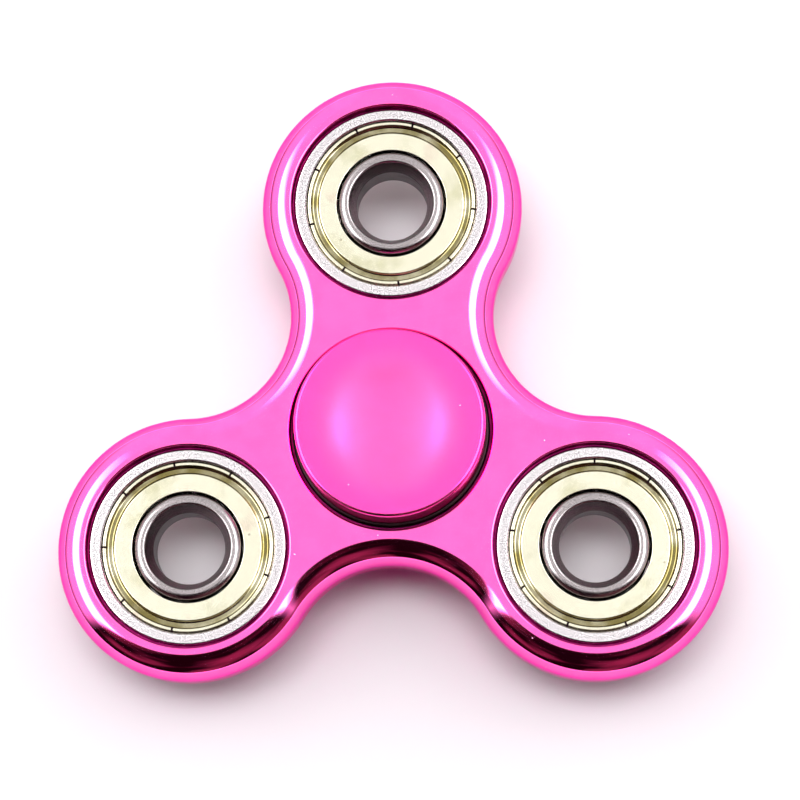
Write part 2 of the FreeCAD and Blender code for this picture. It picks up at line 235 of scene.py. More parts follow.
class SharedEffects:
    """Node groups that several finishes use, each built once."""

    def __init__(self) -> None:
        """Build the groups."""
        self.grain = self._build_grain()
        self.specks = self._build_specks()
        self.turning = self._build_turning()

    @staticmethod
    def _group(name: str, inputs: dict[str, tuple[str, float]],
               outputs: Sequence[str]) -> tuple[bpy.types.NodeTree, Tree]:
        """An empty group with its named sockets.

        Args:
            name: The group's name.
            inputs: Socket names with their type and default value.
            outputs: Names of the value outputs.

        Returns:
            The group and its tree.
        """
        group = bpy.data.node_groups.new(name, "ShaderNodeTree")
        for socket_name, (kind, default) in inputs.items():
            socket = group.interface.new_socket(socket_name, in_out="INPUT", socket_type=kind)
            if kind == "NodeSocketFloat":
                socket.default_value = default
        for socket_name in outputs:
            group.interface.new_socket(socket_name, in_out="OUTPUT", socket_type="NodeSocketFloat")
        return group, Tree(group.nodes, group.links)

    def _build_grain(self) -> bpy.types.NodeTree:
        """Fine surface grain: a broad and a fine layer of noise, from 0 to 1.

        Returns:
            The group.
        """
        group, tree = self._group("fine_grain", {
            "Vector": ("NodeSocketVector", 0.0),
            "Scale": ("NodeSocketFloat", 400.0),
            "Fineness": ("NodeSocketFloat", 6.0),
        }, ["Broad", "Fine"])
        source = tree.add("NodeGroupInput").outputs
        broad = tree.noise(source["Vector"], source["Scale"], detail=3.0)
        fine = tree.noise(source["Vector"], tree.times(source["Scale"], source["Fineness"]))
        tree.feed(tree.add("NodeGroupOutput"), Broad=broad, Fine=fine)
        return group

    def _build_specks(self) -> bpy.types.NodeTree:
        """Sparse round specks of dust or pits, 1 inside a speck.

        Returns:
            The group.
        """
        group, tree = self._group("specks", {
            "Vector": ("NodeSocketVector", 0.0),
            "Scale": ("NodeSocketFloat", 300.0),
            "Size": ("NodeSocketFloat", 0.1),
            "Share": ("NodeSocketFloat", 0.1),
        }, ["Mask"])
        source = tree.add("NodeGroupInput").outputs
        cells = tree.add("ShaderNodeTexVoronoi", feature="F1")
        tree.feed(cells, Vector=source["Vector"], Scale=source["Scale"])
        inside = tree.math("LESS_THAN", cells.outputs["Distance"], source["Size"])
        pick = tree.add("ShaderNodeSeparateColor")
        tree.feed(pick, Color=cells.outputs["Color"])
        chosen = tree.math("LESS_THAN", pick.outputs["Red"], source["Share"])
        tree.feed(tree.add("NodeGroupOutput"), Mask=tree.times(inside, chosen))
        return group

    def _build_turning(self) -> bpy.types.NodeTree:
        """Lathe marks: fine circles about the middle of the piece's own box, from 0 to 1.

        Returns:
            The group.
        """
        group, tree = self._group("turning_marks", {
            "Vector": ("NodeSocketVector", 0.0),
            "Rings": ("NodeSocketFloat", 60.0),
            "Waver": ("NodeSocketFloat", 1.0),
        }, ["Marks", "Radius"])
        source = tree.add("NodeGroupInput").outputs
        centred = tree.add("ShaderNodeVectorMath", operation="SUBTRACT")
        tree.feed(centred, in0=source["Vector"], in1=BOX_MIDDLE)
        flat = tree.add("ShaderNodeVectorMath", operation="MULTIPLY")
        tree.feed(flat, in0=centred.outputs[0], in1=LEVEL_PART)
        length = tree.add("ShaderNodeVectorMath", operation="LENGTH")
        tree.feed(length, in0=flat.outputs[0])
        radius = length.outputs["Value"]
        joined = tree.add("ShaderNodeCombineXYZ")
        tree.feed(joined, X=tree.times(radius, source["Rings"]),
                  Y=tree.times(tree.noise(source["Vector"], scale=3.0), source["Waver"]))
        marks = tree.noise(joined.outputs[0], scale=1.0, detail=4.0)
        tree.feed(tree.add("NodeGroupOutput"), Marks=marks, Radius=radius)
        return group

    @staticmethod
    def place(tree: Tree, group: bpy.types.NodeTree, **values: object) -> bpy.types.Node:
        """Place one of the groups in a material's tree.

        Args:
            tree: The material's tree.
            group: The group to place.
            values: Values or sockets of the group's inputs.

        Returns:
            The group node.
        """
        node = tree.add("ShaderNodeGroup", node_tree=group)
        return tree.feed(node, **values)


# ---------------------------------------------------------------- finishes

@dataclass(frozen=True)
class Finish:
    """What every finish has: a name and a way to make its material."""

    name: str

    def start(self) -> tuple[bpy.types.Material, Tree, bpy.types.Node]:
        """An empty metal material.

        Returns:
            The material, its tree and its Principled node, already joined to the output.
        """
        material = bpy.data.materials.new(self.name)
        material.use_nodes = True
        tree = Tree(material.node_tree.nodes, material.node_tree.links)
        tree.nodes.clear()
        shader = tree.add("ShaderNodeBsdfPrincipled")
        shader.inputs["Metallic"].default_value = 1.0
        tree.links.new(shader.outputs[0], tree.add("ShaderNodeOutputMaterial").inputs[0])
        return material, tree, shader


@dataclass(frozen=True)
class PlatedFinish(Finish):
    """Mirror-bright coloured plating over a moulding, with dust and a faint ripple."""

    tint: Rgb
    deep_tint: Rgb
    roughness: float = 0.035
    unevenness: float = 1.6
    haze: float = 0.0
    haze_roughness: float = 0.28
    haze_ior: float = 1.5
    rubbed_share: float = 1.0
    rubbed_edge: Band = (0.28, 0.43)
    edge_tint: Rgb = (1.0, 0.3, 0.72)
    ripple: float = 0.04
    ripple_scale: float = 450.0
    ripple_fineness: float = 9.0
    cloud: Band = (0.3, 0.7)
    scuff: Band = (0.35, 0.75)
    dust_scale: float = 650.0
    dust_size: float = 0.05
    dust_share: float = 0.12
    dust_cover: float = 0.4
    dust_tint: Rgb = (1.0, 0.75, 0.9)

    def make(self, effects: SharedEffects) -> bpy.types.Material:
        """Build the material.

        Args:
            effects: The shared node groups.

        Returns:
            The material.
        """
        material, tree, shader = self.start()
        texture = tree.add("ShaderNodeTexCoord").outputs
        grain = effects.place(tree, effects.grain, Vector=texture["Object"], Scale=self.ripple_scale,
                              Fineness=self.ripple_fineness).outputs
        dust = effects.place(tree, effects.specks, Vector=texture["Object"], Scale=self.dust_scale,
                             Size=self.dust_size, Share=self.dust_share)
        cover = tree.times(dust.outputs["Mask"], self.dust_cover)
        tint = tree.mix(tree.ramp(grain["Broad"], self.cloud), colour(self.tint), colour(self.deep_tint))
        tint = tree.mix(cover, tint, colour(self.dust_tint))
        rough = tree.ramp(grain["Fine"], self.scuff, self.roughness, self.roughness * self.unevenness)
        haze = self.haze
        if self.rubbed_share < 1.0:
            wear = effects.place(tree, effects.turning, Vector=texture["Generated"])
            haze = tree.ramp(wear.outputs["Radius"], self.rubbed_edge, self.haze,
                             self.haze * self.rubbed_share)
        tree.feed(shader, Base_Color=tint, Roughness=tree.math("ADD", rough, cover),
                  Normal=tree.bump(grain["Broad"], self.ripple), Coat_Weight=haze,
                  Coat_Roughness=self.haze_roughness, Coat_IOR=self.haze_ior,
                  Specular_Tint=colour(self.edge_tint))
        return material


@dataclass(frozen=True)
class SteelFinish(Finish):
    """Ground bearing steel: lathe marks, a fine speckle and small pits."""

    tint: Rgb
    dark_tint: Rgb
    roughness: float
    speckle: float
    bump: float
    unevenness: Band = (0.8, 1.25)
    grain_scale: float = 2500.0
    grain_fineness: float = 3.0
    mottle: Band = (0.35, 0.65)
    rings: float = 90.0
    ring_waver: float = 1.5
    ring_marks: Band = (0.3, 0.7)
    pit_scale: float = 1900.0
    pit_size: float = 0.16
    pit_share: float = 0.12
    pit_shade: float = 0.35

    def make(self, effects: SharedEffects) -> bpy.types.Material:
        """Build the material.

        Args:
            effects: The shared node groups.

        Returns:
            The material.
        """
        material, tree, shader = self.start()
        texture = tree.add("ShaderNodeTexCoord").outputs
        fine = effects.place(tree, effects.grain, Vector=texture["Object"], Scale=self.grain_scale,
                             Fineness=self.grain_fineness).outputs["Fine"]
        marks = effects.place(tree, effects.turning, Vector=texture["Generated"], Rings=self.rings,
                              Waver=self.ring_waver).outputs["Marks"]
        pits = effects.place(tree, effects.specks, Vector=texture["Object"], Scale=self.pit_scale,
                             Size=self.pit_size, Share=self.pit_share).outputs["Mask"]
        shade = tree.math("ADD", tree.times(tree.ramp(fine, self.mottle), self.speckle),
                          tree.times(pits, self.pit_shade), clamp=True)
        smooth, coarse = (self.roughness * share for share in self.unevenness)
        tree.feed(shader, Base_Color=tree.mix(shade, colour(self.tint), colour(self.dark_tint)),
                  Roughness=tree.ramp(marks, self.ring_marks, smooth, coarse),
                  Normal=tree.bump(tree.math("ADD", fine, marks), self.bump))
        return material


@dataclass(frozen=True)
class ZincFinish(Finish):
    """Pale yellow zinc plating on pressed sheet, with faint olive and rose stains, and painted shade in its
    channel.
    """

    tint: Rgb
    olive: Rgb
    rose: Rgb
    channel_tint: Rgb
    roughness: float = 0.14
    unevenness: Band = (0.8, 1.3)
    stain_scale: float = 170.0
    stain_fineness: float = 18.0
    olive_stain: Band = (0.5, 0.75)
    olive_strength: float = 0.7
    rose_stain: Band = (0.42, 0.28)
    rose_strength: float = 0.5
    channel_inner: Band = (0.42, 0.426)
    channel_outer: Band = (0.474, 0.468)
    patch_scale: float = 330.0
    patch: Band = (0.25, 0.65)
    patch_least: float = 0.55
    rings: float = 40.0
    ring_waver: float = 2.0
    ring_height: float = 0.5
    pit_scale: float = 700.0
    pit_size: float = 0.1
    pit_share: float = 0.08
    pit_cover: float = 0.4
    pit_tint: Rgb = (0.25, 0.2, 0.12)
    scuff: Band = (0.3, 0.7)
    bump: float = 0.12

    def make(self, effects: SharedEffects) -> bpy.types.Material:
        """Build the material.

        Args:
            effects: The shared node groups.

        Returns:
            The material.
        """
        material, tree, shader = self.start()
        texture = tree.add("ShaderNodeTexCoord").outputs
        stains = effects.place(tree, effects.grain, Vector=texture["Object"], Scale=self.stain_scale,
                               Fineness=self.stain_fineness).outputs
        marks = effects.place(tree, effects.turning, Vector=texture["Generated"], Rings=self.rings,
                              Waver=self.ring_waver).outputs
        pits = effects.place(tree, effects.specks, Vector=texture["Object"], Scale=self.pit_scale,
                             Size=self.pit_size, Share=self.pit_share).outputs["Mask"]
        # the channel between face and rim is darkened in patches: painted shade
        channel = tree.times(tree.ramp(marks["Radius"], self.channel_inner),
                             tree.ramp(marks["Radius"], self.channel_outer))
        patches = tree.ramp(tree.noise(texture["Object"], self.patch_scale), self.patch, self.patch_least)
        layers = [
            (tree.ramp(stains["Broad"], self.olive_stain, 0.0, self.olive_strength), self.olive),
            (tree.ramp(stains["Broad"], self.rose_stain, 0.0, self.rose_strength), self.rose),
            (tree.times(channel, patches), self.channel_tint),
            (tree.times(pits, self.pit_cover), self.pit_tint),
        ]
        tint = colour(self.tint)
        for share, layer in layers:
            tint = tree.mix(share, tint, colour(layer))
        smooth, coarse = (self.roughness * share for share in self.unevenness)
        height = tree.math("ADD", tree.times(marks["Marks"], self.ring_height), stains["Fine"])
        tree.feed(shader, Base_Color=tint, Roughness=tree.ramp(stains["Fine"], self.scuff, smooth, coarse),
                  Normal=tree.bump(height, self.bump))
        return material


BODY_PLATING = PlatedFinish("body_plating", (1.0, 0.135, 0.5), (1.0, 0.12, 0.47), haze=0.1)
# a dark copy of the pink plating: painted shade on the walls and floors of the bearing holes
RECESS_SHADE_PLATING = PlatedFinish("recess_plating", (0.3, 0.012, 0.12), (0.16, 0.004, 0.06), roughness=0.3)
CAP_PLATING = PlatedFinish("cap_plating", (1.0, 0.014, 0.37), (1.0, 0.01, 0.355), roughness=0.16,
                           unevenness=1.05, haze=1.0, haze_ior=1.75, rubbed_share=0.65)
OUTER_RING_STEEL = SteelFinish("outer_ring_steel", (0.74, 0.69, 0.71), (0.3, 0.28, 0.29), 0.2, 0.85, 0.35)
INNER_RING_STEEL = SteelFinish("inner_ring_steel", (0.35, 0.315, 0.32), (0.17, 0.15, 0.155), 0.2, 0.6, 0.15)
# a dark copy of the ring steel: painted shade in the inner rings' bores and chamfers
BORE_SHADE_STEEL = SteelFinish("bore_steel", (0.055, 0.042, 0.042), (0.03, 0.022, 0.022), 0.35, 0.5, 0.2)
# a near-black copy of the steel: painted shade on the centre bearing's outer ring under the cap and in the
# shields' notches
PAINTED_SHADE_STEEL = SteelFinish("oiled_steel", (0.025, 0.012, 0.015), (0.012, 0.006, 0.008), 0.45, 0.5, 0.2)
# the last colour is painted shade for the shields' channels
SHIELD_ZINC = ZincFinish("shield_zinc", (0.69, 0.66, 0.52), (0.46, 0.44, 0.26), (0.6, 0.47, 0.38),
                         (0.17, 0.14, 0.05))
CAGE_STEEL = SteelFinish("cage_steel", (0.6, 0.59, 0.58), (0.45, 0.44, 0.43), 0.35, 0.3, 0.1)
BALL_STEEL = SteelFinish("ball_steel", (0.8, 0.8, 0.82), (0.75, 0.75, 0.77), 0.08, 0.1, 0.0)


# ---------------------------------------------------------------- mesh helpers

@dataclass(frozen=True)
class Corner:
    """A corner of a profile: distance from the axis, height, and the radius it is rounded to."""

    across: float
    up: float
    rounding: float = 0.0


@dataclass(frozen=True)
class ProfilePoint:
    """A point of a finished profile and the surface's normal there."""

    across: float
    up: float
    normal_across: float
    normal_up: float


def unit(vector: Vector, fallback: Vector) -> Vector:
    """The vector at length 1, or the fallback if it has no length."""
    return vector.normalized() if vector.length > NO_LENGTH else fallback


def heading(angle: float) -> Vector:
    """The level direction at an angle from +X."""
    return Vector((math.cos(angle), math.sin(angle)))


def turn_between(first: Vector, second: Vector) -> float:
    """The angle from one level direction to another, positive if it is anticlockwise."""
    return math.atan2(first.cross(second), first.dot(second))


def rounded_profile(corners: Sequence[Corner], closed: bool, steps: int = 6) -> list[ProfilePoint]:
    """Round a profile's corners, and give each point its normal.

    Args:
        corners: The corners, running so that the solid is on the left.
        closed: True if the last corner joins the first.
        steps: How many pieces each rounded corner is cut into.

    Returns:
        The points, in order.
    """
    count = len(corners)
    points: list[ProfilePoint] = []
    for index, corner in enumerate(corners):
        here = Vector((corner.across, corner.up))
        before = corners[index - 1] if index or closed else None
        after = corners[(index + 1) % count] if index < count - 1 or closed else None
        inward = here - Vector((before.across, before.up)) if before else None
        outward = Vector((after.across, after.up)) - here if after else None
        inward = unit(inward if inward is not None else outward, Vector((1, 0)))
        outward = unit(outward if outward is not None else inward, inward)
        normal_in = Vector((inward.y, -inward.x))
        normal_out = Vector((outward.y, -outward.x))
        turn = turn_between(inward, outward)
        if corner.rounding <= 0 or abs(turn) < STRAIGHT or not (before and after):
            if abs(turn) < SHALLOW_TURN:
                shared = unit(normal_in + normal_out, normal_in)
                points.append(ProfilePoint(here.x, here.y, shared.x, shared.y))
            else:
                points.append(ProfilePoint(here.x, here.y, normal_in.x, normal_in.y))
                points.append(ProfilePoint(here.x, here.y, normal_out.x, normal_out.y))
            continue
        setback = corner.rounding * math.tan(abs(turn) / 2)
        start = here - inward * setback
        centre = start - normal_in * math.copysign(corner.rounding, turn)
        for step in range(steps + 1):
            turned = Matrix.Rotation(turn * step / steps, 2) @ normal_in
            place = centre + turned * math.copysign(corner.rounding, turn)
            points.append(ProfilePoint(place.x, place.y, turned.x, turned.y))
    return points


@dataclass
class Mesher:
    """Gathers vertices, normals and faces, and turns them into one smooth object."""

    name: str

    def __post_init__(self) -> None:
        """Start with nothing gathered."""
        self.vertices: list[Place] = []
        self.normals: list[Place] = []
        self.faces: list[tuple[int, ...]] = []
        self.recessed: set[int] = set()

    def ring(self, profile: Sequence[ProfilePoint], centre: Vector, segments: int,
             closed: bool, recess: float = math.inf) -> None:
        """Turn a profile about an upright axis.

        Args:
            profile: The profile's points.
            centre: Where the axis is, and the height that the profile counts from.
            segments: Steps round the axis.
            closed: True if the profile's last point joins its first.
            recess: Faces wholly nearer the mid-plane than this take the second finish, a painted shade.
        """
        start = len(self.vertices)
        count = len(profile)
        for segment in range(segments):
            angle = FULL_TURN * segment / segments
            c, s = math.cos(angle), math.sin(angle)
            for p in profile:
                self.vertices.append((centre.x + p.across * c, centre.y + p.across * s, centre.z + p.up))
                self.normals.append((p.normal_across * c, p.normal_across * s, p.normal_up))
        for row in range(count if closed else count - 1):
            up = (row + 1) % count
            first, second = profile[row], profile[up]
            if math.dist((first.across, first.up), (second.across, second.up)) < TOUCHING:
                continue
            inside = max(abs(first.up), abs(second.up)) < recess < math.inf
            for segment in range(segments):
                here = start + segment * count
                there = start + (segment + 1) % segments * count
                if inside:
                    self.recessed.add(len(self.faces))
                if first.across < TOUCHING:
                    self.faces.append((here + row, there + up, here + up))
                elif second.across < TOUCHING:
                    self.faces.append((here + row, there + row, here + up))
                else:
                    self.faces.append((here + row, there + row, there + up, here + up))

    def strip(self, rows: Sequence[Sequence[tuple[Vector, Vector]]], closed: bool,
              recessed: frozenset[tuple[int, int]] = frozenset()) -> None:
        """Join rows of points side by side, leaving out faces that have no area.

        Args:
            rows: Rows of equally many (place, normal) pairs.
            closed: True if the last row joins the first.
            recessed: The (row, step) pairs whose faces take the second finish, a painted shade.
        """
        start = len(self.vertices)
        count = len(rows[0])
        for row in rows:
            for place, normal in row:
                self.vertices.append(tuple(place))
                self.normals.append(tuple(normal))
        for index in range(len(rows) if closed else len(rows) - 1):
            here = start + index * count
            there = start + (index + 1) % len(rows) * count
            for step in range(count - 1):
                face = []
                for corner in (here + step, there + step, there + step + 1, here + step + 1):
                    place = self.vertices[corner]
                    if all(math.dist(place, self.vertices[other]) > TOUCHING for other in face):
                        face.append(corner)
                if len(face) < 3:
                    continue
                if (index, step) in recessed:
                    self.recessed.add(len(self.faces))
                self.faces.append(tuple(face))

    def plate(self, loops: Sequence[Sequence[Vector]], facing: float) -> None:
        """Fill the flat region between an outline and the holes in it.

        Args:
            loops: The outline and the holes, each a closed row of points at one height.
            facing: 1 for a face that looks up, -1 for one that looks down.
        """
        grid = bmesh.new()
        for loop in loops:
            corners = [grid.verts.new(point) for point in loop]
            for index, corner in enumerate(corners):
                grid.edges.new((corners[index - 1], corner))
        bmesh.ops.triangle_fill(grid, use_beauty=True, edges=grid.edges[:], normal=(0, 0, facing))
        grid.verts.index_update()
        grid.normal_update()
        start = len(self.vertices)
        for corner in grid.verts:
            self.vertices.append(tuple(corner.co))
            self.normals.append((0.0, 0.0, facing))
        for face in grid.faces:
            turned = face.verts if face.normal.z * facing > 0 else reversed(face.verts)
            self.faces.append(tuple(start + corner.index for corner in turned))
        grid.free()

    def build(self, material: bpy.types.Material,
              shade_material: bpy.types.Material | None = None) -> bpy.types.Object:
        """Make the object.

        Args:
            material: Its finish.
            shade_material: The dark finish of its recessed faces, painted shade, if it has any.

        Returns:
            The object, in the row frame.
        """
        mesh = bpy.data.meshes.new(self.name)
        mesh.from_pydata(self.vertices, [], self.faces)
        mesh.shade_smooth()
        mesh.normals_split_custom_set_from_vertices(self.normals)
        mesh.materials.append(material)
        if shade_material:
            mesh.materials.append(shade_material)
            for index in self.recessed:
                mesh.polygons[index].material_index = 1
        piece = bpy.data.objects.new(self.name, mesh)
        bpy.context.scene.collection.objects.link(piece)
        return piece


# ---------------------------------------------------------------- sub-assemblies

@dataclass(frozen=True)
class Station:
    """Where a bearing stands: its centre on the mid-plane and its outside radius."""

    centre: Vector
    radius: float

    @classmethod
    def of(cls, node: str) -> "Station":
        """Read a station from a round CAD node.

        Args:
            node: A node that is round about the bearing's axis.

        Returns:
            The station.
        """
        low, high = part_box(node)
        return cls((low + high) / 2, (high.x - low.x) / 2)


def dress(node: str, material: bpy.types.Material) -> None:
    """Give a carried-over CAD node its finish.

    Args:
        node: The node's name.
        material: The finish.
    """
    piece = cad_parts[node]
    piece.data.materials.clear()
    piece.data.materials.append(material)
    log.info("%s dressed in %s", node, material.name)


def settle(piece: bpy.types.Object, body: str, node: str) -> None:
    """Put a new piece in the place of a CAD node.

    Args:
        piece: The new piece.
        body: The body that it moves with.
        node: The CAD node that it stands for.
    """
    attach(piece, body)
    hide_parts(node)
    log.info("%s stands for %s", piece.name, node)


def mirrored(corners: Sequence[Corner]) -> list[Corner]:
    """The mirror images below the mid-plane of the corners above it, in the order that goes on."""
    return [Corner(c.across, -c.up, c.rounding) for c in reversed(corners)]


def groove(centre: float, radius: float, wall: float, inward: bool, steps: int = 10) -> list[Corner]:
    """The arc that a ball track cuts into a ring's wall.

    Args:
        centre: Distance of the balls' centres from the axis.
        radius: The track's radius.
        wall: Distance of the ring's wall from the axis.
        inward: True for an inner ring, whose track is nearer the axis than its wall.
        steps: Pieces that the arc is cut into.

    Returns:
        The corners, from the top down for an outer ring and from the bottom up for an inner one.
    """
    half = math.acos(abs(wall - centre) / radius)
    side = -1 if inward else 1
    corners = []
    for step in range(steps + 1):
        angle = side * half * (1 - 2 * step / steps)
        corners.append(Corner(centre + side * radius * math.cos(angle), radius * math.sin(angle)))
    return corners


@dataclass
class PlatedBody:
    """The one-piece plated moulding: a flat trefoil with rounded rims and four bearing holes."""

    hub: Station
    lobes: list[Station]
    lobe_radius: float = 14.75 * MM
    waist_radius: float = 11.5 * MM
    rim_radius: float = 3.0 * MM
    lip_radius: float = 0.22 * MM
    relief_radius: float = 11.27 * MM
    relief_depth: float = 1.3 * MM
    relief_rounding: float = 0.1 * MM
    arc_steps: int = 90
    rim_steps: int = 28

    def __post_init__(self) -> None:
        """Read the heights of the two faces."""
        low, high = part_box("body_frame")
        self.bottom, self.top = low.z, high.z
        self.middle = (low.z + high.z) / 2

    def outline(self) -> list[tuple[Vector, Vector]]:
        """Walk round the trefoil, anticlockwise from above.

        Returns:
            Points of the outline with its outward direction there.
        """
        reach = (self.lobes[0].centre - self.hub.centre).length
        joined = self.lobe_radius + self.waist_radius
        across = reach * math.cos(math.pi / len(self.lobes))
        waist_reach = across + math.sqrt(across ** 2 - reach ** 2 + joined ** 2)
        points = []
        for index in range(len(self.lobes)):
            middle = math.pi / 2 + FULL_TURN * index / len(self.lobes)
            gap = middle + math.pi / len(self.lobes)
            lobe = Matrix.Rotation(middle, 2) @ Vector((reach, 0))
            waist = Matrix.Rotation(gap, 2) @ Vector((waist_reach, 0))
            spread = (waist - lobe).normalized()
            half = turn_between(heading(middle), spread)
            inner = math.pi - abs(turn_between(heading(gap), -spread))
            for step in range(self.arc_steps):
                outward = heading(middle + half * (2 * step / self.arc_steps - 1))
                points.append((lobe + outward * self.lobe_radius, outward))
            for step in range(self.arc_steps):
                inward = heading(gap + math.pi + inner * (1 - 2 * step / self.arc_steps))
                points.append((waist + inward * self.waist_radius, -inward))
        centre = self.hub.centre.to_2d()
        return [(place + centre, outward) for place, outward in points]

    def rim_row(self, place: Vector, outward: Vector) -> list[tuple[Vector, Vector]]:
        """One upright row of the rounded rim, from the bottom face to the top face.

        Args:
            place: The outline's point.
            outward: The outline's outward direction.

        Returns:
            Places and normals.
        """
        row = []
        for facing, height in ((-1, self.bottom), (1, self.top)):
            steps = range(self.rim_steps + 1)
            for step in reversed(steps) if facing < 0 else steps:
                tilt = math.pi / 2 * step / self.rim_steps
                inset = self.rim_radius * (1 - math.cos(tilt))
                drop = self.rim_radius * (1 - math.sin(tilt))
                spot = place - outward * inset
                normal = Vector((*(outward * math.cos(tilt)), facing * math.sin(tilt)))
                row.append((Vector((spot.x, spot.y, height - facing * drop)), normal))
        return row

    def hole_profile(self, station: Station) -> list[ProfilePoint]:
        """The wall of a bearing hole, from the top face down to the bottom face.

        Args:
            station: The bearing's place.

        Returns:
            The wall's points.
        """
        half = (self.top - self.bottom) / 2
        upper = [
            Corner(self.relief_radius + self.lip_radius, half),
            Corner(self.relief_radius, half, self.lip_radius),
            Corner(self.relief_radius, half - self.relief_depth, self.relief_rounding),
            Corner(station.radius, half - self.relief_depth),
        ]
        return rounded_profile([*upper, *mirrored(upper)], closed=False)

    def build(self, material: bpy.types.Material, shade_finish: bpy.types.Material) -> bpy.types.Object:
        """Make the moulding.

        Args:
            material: Its plating.
            shade_finish: A dark copy of the plating inside the holes, painted shade.

        Returns:
            The object.
        """
        mesher = Mesher("body_shell")
        outline = self.outline()
        mesher.strip([self.rim_row(place, outward) for place, outward in outline], closed=True)
        stations = [self.hub, *self.lobes]
        mouth = self.relief_radius + self.lip_radius
        for station in stations:
            # the hole's faces below the lit share of its lip take the dark plating, painted shade
            mesher.ring(self.hole_profile(station), station.centre, SEGMENTS, closed=False,
                        recess=(self.top - self.bottom) / 2 - self.lip_radius * LIT_LIP)
        for facing, height in ((1.0, self.top), (-1.0, self.bottom)):
            loops = [[Vector((*(place - outward * self.rim_radius), height))
                      for place, outward in outline]]
            for station in stations:
                turns = [FULL_TURN * step / SEGMENTS for step in range(SEGMENTS)]
                loops.append([Vector((station.centre.x + mouth * math.cos(turn),
                                      station.centre.y + mouth * math.sin(turn), height))
                              for turn in turns])
            mesher.plate(loops, facing)
        piece = mesher.build(material, shade_finish)
        settle(piece, "rotor", "body_frame")
        return piece


@dataclass
class ThumbCap:
    """A round plated cap with a shallow finger dish, a boss and a post down the axis."""

    node: str
    side: Side
    hub: Station
    edge_rounding: float = 0.4 * MM
    lower_rounding: float = 0.2 * MM
    post_rounding: float = 0.2 * MM
    taper: float = 0.15 * MM
    rise: float = 4.6 * MM
    clearance: float = 0.4 * MM
    boss_radius: float = 5.6 * MM
    post_radius: float = 4.0 * MM
    post_gap: float = 0.2 * MM
    pin_radius: float = 2.0 * MM
    pin_reach: float = 4.4 * MM
    pin_end_gap: float = 0.3 * MM
    bearing_half: float = 3.5 * MM
    dish_radius: float = 5.4 * MM
    dish_edge: float = 3.4 * MM
    dish_tilt: float = math.radians(6.05)
    dish_steps: int = 48

    def dish(self) -> list[ProfilePoint]:
        """The dished face, from the flat margin in to the axis.

        Returns:
            Points counted from the face's height.
        """
        reach = self.dish_radius + self.dish_edge
        points = []
        depth = 0.0
        step = reach / self.dish_steps
        for index in range(self.dish_steps + 1):
            across = reach - index * step
            tilt = self.tilt_at(across)
            points.append(ProfilePoint(across, -depth, -math.sin(tilt), math.cos(tilt)))
            depth += math.tan(self.tilt_at(across - step / 2)) * step
        return points

    def tilt_at(self, across: float) -> float:
        """The dish's slope at a distance from the axis.

        Args:
            across: The distance.

        Returns:
            The slope as an angle.
        """
        if across < self.dish_radius:
            return self.dish_tilt * max(across, 0.0) / self.dish_radius
        share = (across - self.dish_radius) / self.dish_edge
        return self.dish_tilt * (1 + math.cos(math.pi * min(share, 1.0))) / 2

    def build(self, material: bpy.types.Material) -> bpy.types.Object:
        """Make the cap.

        Args:
            material: Its plating.

        Returns:
            The object.
        """
        low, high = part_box(self.node)
        radius = (high.x - low.x) / 2
        face = self.bearing_half + self.rise
        under = self.bearing_half + self.clearance
        tip = self.post_gap / 2
        if self.side is Side.UPPER:
            end = self.pin_reach + self.pin_end_gap
            inner = [Corner(self.pin_radius, tip), Corner(self.pin_radius, end), Corner(0, end)]
        else:
            inner = [Corner(self.pin_radius, tip),
                     Corner(self.pin_radius, -self.pin_reach, self.post_rounding),
                     Corner(0, -self.pin_reach)]
        outside = [
            *reversed(inner),
            Corner(self.post_radius, tip, self.post_rounding),
            Corner(self.post_radius, self.bearing_half),
            Corner(self.boss_radius, self.bearing_half),
            Corner(self.boss_radius, under),
            Corner(radius, under, self.lower_rounding),
            Corner(radius - self.taper, face, self.edge_rounding),
            Corner(self.dish_radius + self.dish_edge, face),
        ]
        profile = rounded_profile(outside, closed=False)[:-1]
        for point in self.dish():
            profile.append(ProfilePoint(point.across, point.up + face, point.normal_across,
                                        point.normal_up))
        if self.side is Side.LOWER:
            profile = [ProfilePoint(p.across, -p.up, p.normal_across, -p.normal_up)
                       for p in reversed(profile)]
        mesher = Mesher(f"{self.node}_shell")
        mesher.ring(profile, self.hub.centre, SEGMENTS, closed=False)
        piece = mesher.build(material)
        settle(piece, "hub", self.node)
        return piece


